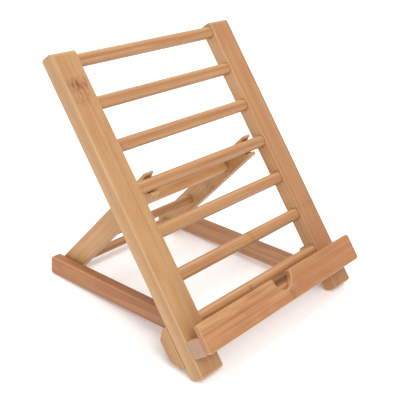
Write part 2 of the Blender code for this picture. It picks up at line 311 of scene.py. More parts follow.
def bar(
    name: str, low: Vector, high: Vector, rounding: Callable[[Vector], float]
) -> bpy.types.Object:
    """Square bar whose edges are each rounded by their own radius.

    Args:
        name: Name of the piece.
        low: Lowest corner of the bar.
        high: Highest corner.
        rounding: Radius of an edge, asked with the signs of the two faces it joins
            and 0 for the axis that it runs along.

    Returns:
        The bar, in its frame's own axes.
    """
    deselect()
    bpy.ops.mesh.primitive_cube_add(size=1.0, location=(low + high) / 2)
    piece = bpy.context.active_object
    piece.scale = high - low
    piece.name = name
    piece.data.name = name
    bpy.ops.object.transform_apply(location=True, rotation=True, scale=True)
    middle, half = (low + high) / 2, (high - low) / 2
    radii = {}
    for edge in piece.data.edges:
        ends = [piece.data.vertices[index].co for index in edge.vertices]
        offset = (ends[0] + ends[1]) / 2 - middle
        signs = Vector(round(offset[axis] / half[axis]) for axis in range(3))
        radii[edge.index] = rounding(signs)
    widest = max(radii.values())
    weights = piece.data.attributes.new("bevel_weight_edge", "FLOAT", "EDGE")
    weights.data.foreach_set(
        "value", [radii[edge.index] / widest for edge in piece.data.edges]
    )
    soften = piece.modifiers.new("soften", "BEVEL")
    soften.limit_method = "WEIGHT"
    soften.width = widest
    soften.segments = ROUND_SEGMENTS
    bpy.ops.object.modifier_apply(modifier=soften.name)
    return piece


def dowel(name: str, low: Vector, high: Vector) -> bpy.types.Object:
    """Round bar along X with eased ends, cut into equal spans.

    Args:
        name: Name of the piece.
        low: Lowest corner of the box that holds the bar.
        high: Highest corner.

    Returns:
        The bar, in its frame's own axes.
    """
    deselect()
    bpy.ops.mesh.primitive_cylinder_add(
        vertices=DOWEL_SIDES, radius=(high.y - low.y) / 2, depth=high.x - low.x,
        location=(low + high) / 2, rotation=(0.0, math.pi / 2, 0.0), end_fill_type="NGON",
    )
    piece = bpy.context.active_object
    piece.name = name
    piece.data.name = name
    bpy.ops.object.transform_apply(location=True, rotation=True, scale=True)
    start_editing(piece)
    pick_edges(
        piece,
        lambda edge: sorted(abs(face.normal.x) > SQUARE_ON for face in edge.link_faces)
        == [False, True],
    )
    bpy.ops.mesh.bevel(
        offset_type="OFFSET", offset=DOWEL_EASE, segments=EASE_SEGMENTS,
        profile=ROUND_PROFILE, affect="EDGES",
    )
    for span in range(1, DOWEL_SPANS):
        place = low.x + (high.x - low.x) * span / DOWEL_SPANS
        bpy.ops.mesh.select_all(action="SELECT")
        bpy.ops.mesh.bisect(plane_co=(place, 0.0, 0.0), plane_no=(1.0, 0.0, 0.0))
    stop_editing()
    return piece


def bore(piece: bpy.types.Object, place: Vector, radius: float, start: float, end: float) -> None:
    """Drill a round hole along X.

    Args:
        piece: The piece to drill.
        place: A point on the hole's axis.
        radius: Radius of the hole.
        start: Where the hole starts along X.
        end: Where it ends.
    """
    deselect()
    bpy.ops.mesh.primitive_cylinder_add(
        vertices=DOWEL_SIDES, radius=radius, depth=abs(end - start),
        location=((start + end) / 2, place.y, place.z), rotation=(0.0, math.pi / 2, 0.0),
    )
    drill = bpy.context.active_object
    deselect()
    piece.select_set(True)
    bpy.context.view_layer.objects.active = piece
    cut = piece.modifiers.new("bore", "BOOLEAN")
    cut.operation = "DIFFERENCE"
    cut.object = drill
    bpy.ops.object.modifier_apply(modifier=cut.name)
    bpy.data.objects.remove(drill, do_unlink=True)


def mark_wear_and_highlight(piece: bpy.types.Object) -> None:
    """Store on every vertex how far its surface turns between two faces.

    The finish paints the bamboo paler where this value is high, along the rounded edges: rubbed wear and a painted
    highlight.

    Args:
        piece: The piece, still in its frame's own axes.
    """
    wear_and_highlight = piece.data.attributes.new("edge_wear_and_highlight", "FLOAT", "POINT")
    values = []
    for vertex in piece.data.vertices:
        squareness = max(abs(component) for component in vertex.normal)
        values.append(min(1.0, max(0.0, (WEAR_HIGHLIGHT_START - squareness) / WEAR_HIGHLIGHT_REACH)))
    wear_and_highlight.data.foreach_set("value", values)


def settle(piece: bpy.types.Object, axes: Axes) -> None:
    """Smooth a finished piece and turn it into its place in the stand.

    Args:
        piece: The piece in its frame's own axes.
        axes: The frame's axes.
    """
    deselect()
    piece.select_set(True)
    bpy.context.view_layer.objects.active = piece
    bpy.ops.object.shade_smooth_by_angle(angle=CREASE_ANGLE)
    weighted = piece.modifiers.new("weighted", "WEIGHTED_NORMAL")
    weighted.keep_sharp = True
    bpy.ops.object.modifier_apply(modifier=weighted.name)
    piece.location = axes.origin
    piece.rotation_euler = (axes.turn, 0.0, 0.0)
    bpy.ops.object.transform_apply(location=True, rotation=True, scale=True)


# ---------------------------------------------------------------- bamboo


@dataclass(frozen=True)
class Layer:
    """One layer of the bamboo's grain, which is noise drawn out along the fibres.

    It changes so many times to the metre along and across the fibres, and it shows
    between its low and its high value.
    """

    along: float
    across: float
    detail: float
    shift: float
    low: float = 0.0
    high: float = 1.0

    def pitch(self, grain: Grain) -> tuple[float, float, float]:
        """Noise scale for each axis: slow along the fibres and fast across them.

        Args:
            grain: Axis that the fibres run along.

        Returns:
            The scale along X, Y and Z.
        """
        scale = [self.across, self.across, self.across]
        scale[grain.value] = self.along
        return tuple(scale)


FIBRE = Layer(along=12.0, across=1100.0, detail=4.0, shift=0.0, low=0.44, high=0.70)
CLOUD = Layer(along=22.0, across=70.0, detail=2.0, shift=5.3, low=0.46, high=0.70)
FLECK = Layer(along=160.0, across=1500.0, detail=2.0, shift=9.9, low=0.64, high=0.74)
WAVER = Layer(along=30.0, across=260.0, detail=2.0, shift=1.3)
KNUCKLE_MARK = Layer(along=170.0, across=900.0, detail=1.0, shift=4.4, low=0.46, high=0.58)
PORE = Layer(along=1300.0, across=1300.0, detail=2.0, shift=2.2, low=0.50, high=0.66)
SHIFT_SPREAD = (1.0, 1.7, 2.3)
NOISE_ROUGHNESS = 0.6
NOISE_MIDDLE = 0.5
PALE_FIBRE_LOW = 0.28
GLOSS_LOW, GLOSS_HIGH = 0.25, 0.75
PATCH_LOW, PATCH_HIGH = 0.3, 0.7
KNUCKLE_RAGGEDNESS = 0.010
KNUCKLE_CORE = 0.4
KNUCKLE_TINT = 0.22
# Places of the colour sockets on a Mix node.
MIX_FIRST, MIX_SECOND, MIX_RESULT = 6, 7, 2


class Shader:
    """Node tree of one material, with short calls for the nodes that bamboo needs."""

    def __init__(self, name: str) -> None:
        """Start an empty material.

        Args:
            name: Name of the material.
        """
        self.material = bpy.data.materials.new(name)
        self.material.use_nodes = True
        self.tree = self.material.node_tree
        self.surface = self.tree.nodes["Principled BSDF"]

    def put(self, target: bpy.types.NodeSocket, value: object) -> None:
        """Give a socket a value, or wire another socket to it.

        Args:
            target: The input socket.
            value: A number, a colour, or the output socket to wire to it.
        """
        if isinstance(value, bpy.types.NodeSocket):
            self.tree.links.new(value, target)
        elif isinstance(value, tuple) and len(value) == 3 and target.type == "RGBA":
            target.default_value = (*value, 1.0)
        else:
            target.default_value = value

    def set(self, name: str, value: object) -> None:
        """Give an input of the material's surface a value, or wire a socket to it."""
        self.put(self.surface.inputs[name], value)

    def maths(self, operation: str, first: object, second: object = 0.0) -> bpy.types.NodeSocket:
        """Put in a Math node on one or two values.

        Args:
            operation: The node's operation.
            first: First number or socket.
            second: Second number or socket.

        Returns:
            The result.
        """
        node = self.tree.nodes.new("ShaderNodeMath")
        node.operation = operation
        self.put(node.inputs[0], first)
        self.put(node.inputs[1], second)
        return node.outputs[0]

    def ease(
        self, value: object, low: float, high: float, start: float = 0.0, end: float = 1.0
    ) -> bpy.types.NodeSocket:
        """Put in a smooth step of a value between two limits.

        Args:
            value: Number or socket to step.
            low: Limit at which the step starts.
            high: Limit at which it ends; it may be the lower of the two.
            start: Result at the first limit.
            end: Result at the second limit.

        Returns:
            The result.
        """
        node = self.tree.nodes.new("ShaderNodeMapRange")
        node.interpolation_type = "SMOOTHSTEP"
        self.put(node.inputs["Value"], value)
        node.inputs["From Min"].default_value = low
        node.inputs["From Max"].default_value = high
        node.inputs["To Min"].default_value = start
        node.inputs["To Max"].default_value = end
        return node.outputs["Result"]

    def blend(self, share: object, first: object, second: object) -> bpy.types.NodeSocket:
        """Put in a blend of two colours.

        Args:
            share: How much of the second colour shows.
            first: First colour or socket.
            second: Second colour or socket.

        Returns:
            The colour between them.
        """
        node = self.tree.nodes.new("ShaderNodeMix")
        node.data_type = "RGBA"
        self.put(node.inputs["Factor"], share)
        self.put(node.inputs[MIX_FIRST], first)
        self.put(node.inputs[MIX_SECOND], second)
        return node.outputs[MIX_RESULT]

    def own_place(self, axes: Axes) -> bpy.types.NodeSocket:
        """Coordinates of the piece along its frame's own axes.

        Args:
            axes: The frame's axes.

        Returns:
            The coordinates.
        """
        coordinates = self.tree.nodes.new("ShaderNodeTexCoord")
        local = self.tree.nodes.new("ShaderNodeMapping")
        self.put(local.inputs["Vector"], coordinates.outputs["Object"])
        local.inputs["Location"].default_value = axes.matrix().inverted().to_translation()
        local.inputs["Rotation"].default_value = (-axes.turn, 0.0, 0.0)
        return local.outputs["Vector"]

    def noise(
        self, place: bpy.types.NodeSocket, layer: Layer, grain: Grain, seed: float
    ) -> bpy.types.NodeSocket:
        """Noise of one layer of the grain.

        Args:
            place: The piece's own coordinates.
            layer: The layer.
            grain: Axis that the fibres run along.
            seed: Number of the piece's figure.

        Returns:
            The noise, from 0 to 1.
        """
        stretch = self.tree.nodes.new("ShaderNodeMapping")
        self.put(stretch.inputs["Vector"], place)
        shift = seed + layer.shift
        stretch.inputs["Scale"].default_value = layer.pitch(grain)
        stretch.inputs["Location"].default_value = [shift * spread for spread in SHIFT_SPREAD]
        noise = self.tree.nodes.new("ShaderNodeTexNoise")
        noise.inputs["Scale"].default_value = 1.0
        noise.inputs["Detail"].default_value = layer.detail
        noise.inputs["Roughness"].default_value = NOISE_ROUGHNESS
        self.put(noise.inputs["Vector"], stretch.outputs["Vector"])
        return noise.outputs[0]


@dataclass(frozen=True)
class Knuckle:
    """Band across the fibres where the cane had a joint.

    It lies at its place along the fibres, fades out over its width to both sides, and
    is as dark as its depth. It may cover only a part of the piece, up to its reach to
    both sides of its middle. The tone may change beyond it over its spread: below the
    band for a positive step and above it for a negative one.
    """

    place: float
    width: float
    depth: float
    step: float = 0.0
    spread: float = 0.004
    middle_x: float = 0.0
    reach_x: float = 1.0


@dataclass(frozen=True)
class BambooFinish:
    """Tones and grain of one kind of bamboo piece."""

    name: str
    pale: Colour
    deep: Colour
    blush: Colour
    streak: Colour = paint(132, 76, 42)
    knuckle: Colour = paint(122, 62, 36)
    end_grain: Colour = paint(173, 140, 114)
    # Pale tone of the fibres, and of the rounded edges, where it stands for rubbed wear and a painted highlight.
    pale_tone_and_highlight: Colour = paint(216, 178, 134)
    band_pitch: float = 150.0
    streak_pitch: float = 480.0
    blush_share: float = 0.55
    streak_share: float = 0.22
    fibre_share: float = 0.16
    fleck_share: float = 0.25
    pore_share: float = 0.4
    # Least and most paleness on the rounded edges: rubbed wear and a painted highlight.
    least_wear_highlight: float = 0.15
    most_wear_highlight: float = 0.5
    least_roughness: float = 0.38
    most_roughness: float = 0.54
    end_roughness: float = 0.2
    coat: float = 0.08
    coat_roughness: float = 0.35
    fibre_height: float = 0.6
    streak_height: float = 0.5
    relief: float = 0.0004
    relief_strength: float = 0.22

    def bands(self) -> Layer:
        """Broad bands of tone, side by side across the fibres."""
        return Layer(
            along=4.0, across=self.band_pitch, detail=2.0, shift=3.1, low=0.30, high=0.70
        )

    def streaks(self) -> Layer:
        """Narrow dark streaks along the fibres."""
        return Layer(
            along=7.0, across=self.streak_pitch, detail=3.0, shift=7.7, low=0.54, high=0.72
        )

    def figure(
        self, shader: Shader, place: bpy.types.NodeSocket, grain: Grain, seed: float
    ) -> tuple[bpy.types.NodeSocket, bpy.types.NodeSocket, bpy.types.NodeSocket]:
        """Tone bands, blushes, streaks and fibres of the wood.

        Args:
            shader: The material's nodes.
            place: The piece's own coordinates.
            grain: Axis that the fibres run along.
            seed: Number of the figure.

        Returns:
            The colour, the fibre noise and the streak noise.
        """

        def laid(
            noise: bpy.types.NodeSocket, low: float, high: float, share: float,
            under: bpy.types.NodeSocket, tone: Colour,
        ) -> bpy.types.NodeSocket:
            """Colour with a tone laid over it where the noise shows."""
            return shader.blend(shader.ease(noise, low, high, 0.0, share), under, tone)

        bands, streaks = self.bands(), self.streaks()
        fibre = shader.noise(place, FIBRE, grain, seed)
        band = shader.noise(place, bands, grain, seed)
        streak = shader.noise(place, streaks, grain, seed)
        cloud = shader.noise(place, CLOUD, grain, seed)
        fleck = shader.noise(place, FLECK, grain, seed)
        colour = shader.blend(shader.ease(band, bands.low, bands.high), self.pale, self.deep)
        colour = laid(cloud, CLOUD.low, CLOUD.high, self.blush_share, colour, self.blush)
        colour = laid(streak, streaks.low, streaks.high, self.streak_share, colour, self.streak)
        colour = laid(fibre, FIBRE.low, FIBRE.high, self.fibre_share, colour, self.streak)
        colour = laid(fibre, FIBRE.low, PALE_FIBRE_LOW, self.fibre_share, colour, self.pale_tone_and_highlight)
        colour = laid(fleck, FLECK.low, FLECK.high, self.fleck_share, colour, self.knuckle)
        return colour, fibre, streak

    def knuckle_bands(
        self, shader: Shader, place: bpy.types.NodeSocket, grain: Grain, seed: float,
        colour: bpy.types.NodeSocket, knuckles: tuple[Knuckle, ...],
    ) -> bpy.types.NodeSocket:
        """Paint a piece's knuckles over its colour.

        Args:
            shader: The material's nodes.
            place: The piece's own coordinates.
            grain: Axis that the fibres run along.
            seed: Number of the figure.
            colour: The colour so far.
            knuckles: The piece's knuckles.

        Returns:
            The colour with its knuckles.
        """
        parts = shader.tree.nodes.new("ShaderNodeSeparateXYZ")
        shader.put(parts.inputs[0], place)
        along, across = parts.outputs[grain.value], parts.outputs[0]
        waver = shader.noise(place, WAVER, grain, seed)
        ragged = shader.maths("SUBTRACT", waver, NOISE_MIDDLE)
        ragged = shader.maths("MULTIPLY", ragged, KNUCKLE_RAGGEDNESS)
        marks = shader.noise(place, KNUCKLE_MARK, grain, seed)
        flecks = shader.ease(marks, KNUCKLE_MARK.low, KNUCKLE_MARK.high)
        for knuckle in knuckles:
            offset = shader.maths("SUBTRACT", along, knuckle.place)
            offset = shader.maths("ADD", offset, ragged)
            if knuckle.step != 0.0:
                far = -math.copysign(knuckle.spread, knuckle.step)
                beyond = shader.ease(offset, 0.0, far, 0.0, abs(knuckle.step))
                colour = shader.blend(beyond, colour, self.blush)
            reach = shader.maths("ABSOLUTE", offset)
            band = shader.ease(reach, 0.0, knuckle.width, knuckle.depth, 0.0)
            side = shader.maths("ABSOLUTE", shader.maths("SUBTRACT", across, knuckle.middle_x))
            core = knuckle.reach_x * KNUCKLE_CORE
            band = shader.maths(
                "MULTIPLY", band, shader.ease(side, core, knuckle.reach_x, 1.0, 0.0)
            )
            band = shader.maths("MULTIPLY", band, shader.maths("ADD", flecks, KNUCKLE_TINT))
            colour = shader.blend(band, colour, self.knuckle)
        return colour

    def near_ends(
        self, shader: Shader, place: bpy.types.NodeSocket, piece: bpy.types.Object,
        axes: Axes, grain: Grain,
    ) -> bpy.types.NodeSocket:
        """Where the fibres are cut across, at both ends of a piece.

        Args:
            shader: The material's nodes.
            place: The piece's own coordinates.
            piece: The finished piece.
            axes: Axes of its frame.
            grain: Axis that the fibres run along.

        Returns:
            1 at the ends and 0 between them.
        """
        inverse = axes.matrix().inverted()
        points = [(inverse @ vertex.co)[grain.value] for vertex in piece.data.vertices]
        middle = (min(points) + max(points)) / 2
        half = (max(points) - min(points)) / 2
        parts = shader.tree.nodes.new("ShaderNodeSeparateXYZ")
        shader.put(parts.inputs[0], place)
        along = shader.maths("SUBTRACT", parts.outputs[grain.value], middle)
        reach = shader.maths("ABSOLUTE", along)
        return shader.ease(reach, half - END_FADE, half - END_DEPTH)

    def feel(
        self, shader: Shader, fibre: bpy.types.NodeSocket, streak: bpy.types.NodeSocket,
        at_end: bpy.types.NodeSocket,
    ) -> None:
        """Set how the surface shines and how its fibres stand out.

        Args:
            shader: The material's nodes.
            fibre: The fibre noise.
            streak: The streak noise.
            at_end: 1 on the end grain.
        """
        gloss = shader.ease(
            fibre, GLOSS_LOW, GLOSS_HIGH, self.least_roughness, self.most_roughness
        )
        dull = shader.maths("MULTIPLY", at_end, self.end_roughness)
        shader.set("Roughness", shader.maths("ADD", gloss, dull))
        shader.set("Coat Weight", self.coat)
        shader.set("Coat Roughness", self.coat_roughness)
        height = shader.maths(
            "ADD",
            shader.maths("MULTIPLY", fibre, self.fibre_height),
            shader.maths("MULTIPLY", streak, self.streak_height),
        )
        bump = shader.tree.nodes.new("ShaderNodeBump")
        bump.inputs["Strength"].default_value = self.relief_strength
        bump.inputs["Distance"].default_value = self.relief
        shader.put(bump.inputs["Height"], height)
        shader.set("Normal", bump.outputs["Normal"])

    def dress(
        self, piece: bpy.types.Object, axes: Axes, grain: Grain, seed: float,
        knuckles: tuple[Knuckle, ...] = (),
    ) -> None:
        """Give a piece its own bamboo.

        Args:
            piece: The finished piece.
            axes: Axes of its frame, which line the grain up.
            grain: Axis that the fibres run along.
            seed: Number that makes this piece's figure its own.
            knuckles: Knuckles of the cane along the piece, in the frame's axes.
        """
        shader = Shader(f"{piece.name}_{self.name}")
        place = shader.own_place(axes)
        colour, fibre, streak = self.figure(shader, place, grain, seed)
        if knuckles:
            colour = self.knuckle_bands(shader, place, grain, seed, colour, knuckles)

        pore = shader.noise(place, PORE, grain, seed)
        pores = shader.ease(pore, PORE.low, PORE.high, 0.0, self.pore_share)
        at_end = self.near_ends(shader, place, piece, axes, grain)
        cut = shader.blend(pores, self.end_grain, self.knuckle)
        colour = shader.blend(at_end, colour, cut)

        # Rounded edges painted paler: rubbed wear and a painted highlight.
        wear_and_highlight = shader.tree.nodes.new("ShaderNodeAttribute")
        wear_and_highlight.attribute_name = "edge_wear_and_highlight"
        patchy = shader.ease(streak, PATCH_LOW, PATCH_HIGH, self.least_wear_highlight, self.most_wear_highlight)
        worn_and_highlight = shader.maths("MULTIPLY", wear_and_highlight.outputs["Fac"], patchy)
        shader.set("Base Color", shader.blend(worn_and_highlight, colour, self.pale_tone_and_highlight))
        self.feel(shader, fibre, streak, at_end)
        piece.data.materials.clear()
        piece.data.materials.append(shader.material)


STILE_BAMBOO = BambooFinish(
    "stile", paint(183, 142, 94), paint(169, 125, 80), blush=paint(173, 119, 75)
)
RIGHT_STILE_BAMBOO = BambooFinish(
    "right_stile", paint(177, 130, 82), paint(162, 113, 70), blush=paint(168, 108, 66),
    streak_share=0.30,
)
RUNG_BAMBOO = BambooFinish(
    "rung", paint(182, 133, 82), paint(160, 109, 65), blush=paint(170, 110, 63),
    streak_share=0.34, fibre_share=0.26, band_pitch=260.0,
)
SHELF_BAMBOO = BambooFinish(
    "shelf", paint(184, 132, 86), paint(164, 108, 66), blush=paint(168, 106, 66),
    streak_share=0.40, fibre_share=0.28,
)
LIP_BAMBOO = BambooFinish(
    "lip", paint(186, 137, 89), paint(170, 117, 72), blush=paint(160, 100, 57),
    end_grain=paint(176, 124, 88), streak_pitch=640.0, streak_share=0.60, fibre_share=0.30,
    band_pitch=200.0,
)
BASE_BAMBOO = BambooFinish(
    "base", paint(176, 122, 76), paint(156, 99, 57), blush=paint(160, 94, 55),
    streak_pitch=560.0, streak_share=0.46, fibre_share=0.28,
)
PROP_BAMBOO = BambooFinish(
    "prop", paint(196, 151, 98), paint(182, 133, 82), blush=paint(180, 127, 82)
)
# Painted light: the slat's bamboo is painted paler than the prop arms' to lift the shade that the slat sits in.
SLAT_BAMBOO_PAINTED_LIGHT = BambooFinish(
    "slat", paint(222, 168, 109), paint(208, 150, 95), blush=paint(206, 144, 92)
)

# Numbers that give each piece a figure of its own: the first piece's and the step to
# the next of its kind.
FIGURES = {
    "stile": (11.0, 4.3),
    "rung": (31.0, 2.9),
    "front_axle": (61.0, 0.0),
    "shelf": (71.0, 0.0),
    "lip": (75.0, 0.0),
    "block": (81.0, 5.1),
    "rail": (91.0, 6.7),
    "rear_axle": (103.0, 0.0),
    "arm": (111.0, 3.7),
    "spacer": (121.0, 0.0),
    "slat": (127.0, 0.0),
}


def figure_seed(kind: str, number: int = 0) -> float:
    """Number of a piece's figure."""
    first, step = FIGURES[kind]
    return first + number * step


# ---------------------------------------------------------------- the stand


@dataclass
class Piece:
    """A finished piece and what it stands for."""

    shape: bpy.types.Object
    node: str
    body: str
    slot: str


@dataclass
class SubAssembly:
    """Pieces of one frame, kept together while they are built and dressed."""

    axes: Axes
    body: str
    pieces: list[Piece] = field(default_factory=list)

    def keep(
        self, shape: bpy.types.Object, node: str, slot: str, finish: BambooFinish,
        grain: Grain, seed: float, knuckles: tuple[Knuckle, ...] = (),
    ) -> None:
        """Turn a shape into place, dress it and let it stand for its node.

        Args:
            shape: The shape in the frame's own axes.
            node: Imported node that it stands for.
            slot: Material slot of the record.
            finish: Its bamboo.
            grain: Axis of its fibres.
            seed: Number of its figure.
            knuckles: Its knuckles.
        """
        # Mark the rounded edges for rubbed wear and a painted highlight.
        mark_wear_and_highlight(shape)
        settle(shape, self.axes)
        finish.dress(shape, self.axes, grain, seed, knuckles)
        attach(shape, self.body)
        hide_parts(node)
        self.pieces.append(Piece(shape, node, self.body, slot))

    def seat(
        self, shape: bpy.types.Object, side: str, node: str, low: Vector, high: Vector
    ) -> None:
        """Bore the blind hole in which a dowel's end is glued.

        Args:
            shape: The piece to bore.
            side: Side of the stand that it is on.
            node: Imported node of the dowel.
            low: Lowest corner of the piece.
            high: Highest corner of the piece.
        """
        dowel_low, dowel_high = self.axes.box(node)
        if side == "left":
            start, end = dowel_low.x - HOLE_PLAY, high.x + CUT_MARGIN
        else:
            start, end = dowel_high.x + HOLE_PLAY, low.x - CUT_MARGIN
        bore(shape, self.axes.centre(node), self.hole_radius(node), start, end)

    def hole_radius(self, node: str) -> float:
        """Radius of a hole that takes a dowel."""
        low, high = self.axes.box(node)
        return (high.y - low.y) / 2 + HOLE_PLAY

    def report(self) -> None:
        """Say what was built."""
        for piece in self.pieces:
            LOG.info(
                "%s: %s faces for %s on %s, %s", piece.shape.name,
                len(piece.shape.data.polygons), piece.node, piece.body, piece.slot,
            )


@dataclass
class FrontFrame(SubAssembly):
    """Two stiles, seven rungs and the front axle."""

    heel_radius: float = 0.0061
    toe_radius: float = 0.0024
    top_radius: float = 0.0042
    top_side_radius: float = 0.0014
    outer_edge: float = 0.0016
    inner_edge: float = 0.0014
    rungs: int = 7
    top_knuckle: float = 0.030
    lower_marks: float = 0.041
    marks_x: float = -0.1070
    tone_change: float = 0.004

    def knuckles(self) -> dict[str, tuple[Knuckle, ...]]:
        """Place the knuckles below the left stile's top and by the right one's rung.

        Returns:
            The knuckles of each side's stile.
        """
        top = self.axes.box("stile_left")[1].z
        sixth = self.axes.centre("rung_6").z
        return {
            "left": (
                Knuckle(
                    place=top - self.top_knuckle, width=0.009, depth=0.80,
                    middle_x=self.marks_x, reach_x=0.014,
                ),
                Knuckle(
                    place=top - self.lower_marks, width=0.012, depth=0.40,
                    middle_x=self.marks_x, reach_x=0.012,
                ),
            ),
            "right": (
                Knuckle(
                    place=sixth + self.tone_change, width=0.004, depth=0.30, step=0.2,
                    spread=0.006,
                ),
            ),
        }

    def rounding(self, outward: float) -> Callable[[Vector], float]:
        """Radius of each edge of a stile.

        Args:
            outward: Sign of X on the stile's outer side.

        Returns:
            A function for the bar's rounding.
        """

        def radius(signs: Vector) -> float:
            """Radius of the edge between two faces."""
            if signs.z == 0:
                return self.outer_edge if signs.x == outward else self.inner_edge
            if signs.z > 0:
                return self.top_radius if signs.x == 0 else self.top_side_radius
            return self.heel_radius if signs.x == 0 and signs.y > 0 else self.toe_radius

        return radius

    def stile(self, side: str) -> bpy.types.Object:
        """Model one stile with its blind holes.

        Args:
            side: Which side of the stand.

        Returns:
            The stile in the frame's own axes.
        """
        low, high = self.axes.box(f"stile_{side}")
        shape = bar(f"stile_{side}_slat", low, high, self.rounding(OUTWARD[side]))
        for number in range(1, self.rungs + 1):
            self.seat(shape, side, f"rung_{number}", low, high)
        return shape

    def build(self) -> None:
        """Model and dress the frame's pieces."""
        knuckles = self.knuckles()
        finishes = {"left": STILE_BAMBOO, "right": RIGHT_STILE_BAMBOO}
        for number, side in enumerate(SIDES):
            self.keep(
                self.stile(side), f"stile_{side}", "stile_bamboo", finishes[side], Grain.UP,
                figure_seed("stile", number), knuckles[side],
            )
        rung_knuckles = {
            6: (Knuckle(place=0.012, width=0.005, depth=0.6),),
            7: (Knuckle(place=-0.020, width=0.004, depth=0.5),),
        }
        for number in range(1, self.rungs + 1):
            shape = dowel(f"rung_{number}_dowel", *self.axes.box(f"rung_{number}"))
            self.keep(
                shape, f"rung_{number}", "rung_bamboo", RUNG_BAMBOO, Grain.ACROSS,
                figure_seed("rung", number), rung_knuckles.get(number, ()),
            )
        shape = dowel("front_axle_dowel", *self.axes.box("front_axle"))
        self.keep(
            shape, "front_axle", "rung_bamboo", RUNG_BAMBOO, Grain.ACROSS,
            figure_seed("front_axle"),
        )


@dataclass
class Ledge(SubAssembly):
    """Shelf bar and lip board on which the album stands."""

    shelf_edge: float = 0.0010
    shelf_corner: float = 0.0013
    lip_corner: float = 0.0030
    lip_edge: float = 0.0012
    notch_radius: float = 0.0130
    notch_ease: float = 0.0015

    def shelf(self) -> bpy.types.Object:
        """Model the shelf bar.

        Returns:
            The bar in the frame's own axes.
        """
        low, high = self.axes.box("ledge_shelf")
        high.y += GLUE_REACH
        outline = rectangle(low, high, self.shelf_corner)
        return board("shelf_bar", outline, Plane.SIDE, low.x, high.x, self.shelf_edge)

    def lip(self) -> bpy.types.Object:
        """Model the lip board with its thumb notch.

        Returns:
            The board in the frame's own axes.
        """
        low, high = self.axes.box("ledge_lip")
        high.y += GLUE_REACH
        floor = high.z - self.notch_radius - self.notch_ease
        corners = [
            (low.x, low.z, self.lip_corner),
            (high.x, low.z, self.lip_corner),
            (high.x, high.z, self.lip_corner),
            (self.notch_radius, high.z, self.notch_ease),
            (self.notch_radius, floor, self.notch_radius * ARC_SHARE),
            (-self.notch_radius, floor, self.notch_radius * ARC_SHARE),
            (-self.notch_radius, high.z, self.notch_ease),
            (low.x, high.z, self.lip_corner),
        ]
        return board("lip_board", corners, Plane.FRONT, low.y, high.y, self.lip_edge)

    def build(self) -> None:
        """Model and dress the ledge's pieces."""
        self.keep(
            self.shelf(), "ledge_shelf", "ledge_bamboo", SHELF_BAMBOO, Grain.ACROSS,
            figure_seed("shelf"),
        )
        self.keep(
            self.lip(), "ledge_lip", "ledge_bamboo", LIP_BAMBOO, Grain.ACROSS,
            figure_seed("lip"),
            (Knuckle(place=0.006, width=0.007, depth=0.35, step=-0.5, spread=0.014),),
        )


@dataclass
class PivotBlocks(SubAssembly):
    """Block behind the foot of each stile, which holds the front axle."""

    top_chamfer: float = 0.0085
    foot_chamfer: float = 0.0098
    chamfer_radius: float = 0.0035
    edge: float = 0.0012
    glue_corner: float = 0.0004

    def block(self, side: str) -> bpy.types.Object:
        """Model one block with its blind hole.

        Args:
            side: Which side of the stand.

        Returns:
            The block in the frame's own axes.
        """
        low, high = self.axes.box(f"pivot_block_{side}")
        low.y -= GLUE_REACH
        near = self.glue_corner
        corners = [
            (low.y, low.z, near),
            (high.y - self.foot_chamfer, low.z, self.chamfer_radius),
            (high.y, low.z + self.foot_chamfer, self.chamfer_radius),
            (high.y, high.z - self.top_chamfer, self.chamfer_radius),
            (high.y - self.top_chamfer, high.z, self.chamfer_radius),
            (low.y, high.z, near),
        ]
        shape = board(
            f"block_{side}", corners, Plane.SIDE, low.x, high.x, self.edge,
            crisp=lambda place: place.y < low.y + near,
        )
        self.seat(shape, side, "front_axle", low, high)
        return shape

    def build(self) -> None:
        """Model and dress both blocks."""
        for number, side in enumerate(SIDES):
            self.keep(
                self.block(side), f"pivot_block_{side}", "stile_bamboo", STILE_BAMBOO,
                Grain.UP, figure_seed("block", number),
            )


@dataclass
class BaseFrame(SubAssembly):
    """Two rails and the rear axle."""

    corner: float = 0.0050
    tail: float = 0.0030
    outer_edge: float = 0.0024
    inner_edge: float = 0.0014
    # Shares of the way from the front axle to the rear axle.
    left_knuckle: float = 0.70
    right_knuckle: float = 0.42

    def rounding(self, outward: float) -> Callable[[Vector], float]:
        """Radius of each edge of a rail.

        Args:
            outward: Sign of X on the rail's outer side.

        Returns:
            A function for the bar's rounding.
        """

        def radius(signs: Vector) -> float:
            """Radius of the edge between two faces."""
            if signs.x == 0:
                return self.tail if signs.y > 0 and signs.z > 0 else self.corner
            return self.outer_edge if signs.x == outward else self.inner_edge

        return radius

    def rail(self, side: str) -> bpy.types.Object:
        """Model one rail with the hole it turns on and the seat of the rear axle.

        Args:
            side: Which side of the stand.

        Returns:
            The rail in the frame's own axes.
        """
        low, high = self.axes.box(f"base_rail_{side}")
        shape = bar(f"rail_{side}", low, high, self.rounding(OUTWARD[side]))
        radius = self.hole_radius("rear_axle")
        bore(shape, Vector((0.0, 0.0, 0.0)), radius, low.x - CUT_MARGIN, high.x + CUT_MARGIN)
        self.seat(shape, side, "rear_axle", low, high)
        return shape

    def build(self) -> None:
        """Model and dress the base frame's pieces."""
        rear = self.axes.centre("rear_axle").y
        knuckles = {
            "left": (
                Knuckle(place=rear * self.left_knuckle, width=0.003, depth=0.4, step=0.5),
            ),
            "right": (Knuckle(place=rear * self.right_knuckle, width=0.010, depth=0.6),),
        }
        for number, side in enumerate(SIDES):
            self.keep(
                self.rail(side), f"base_rail_{side}", "base_bamboo", BASE_BAMBOO, Grain.BACK,
                figure_seed("rail", number), knuckles[side],
            )
        shape = dowel("rear_axle_dowel", *self.axes.box("rear_axle"))
        self.keep(
            shape, "rear_axle", "base_bamboo", RUNG_BAMBOO, Grain.ACROSS,
            figure_seed("rear_axle"),
        )


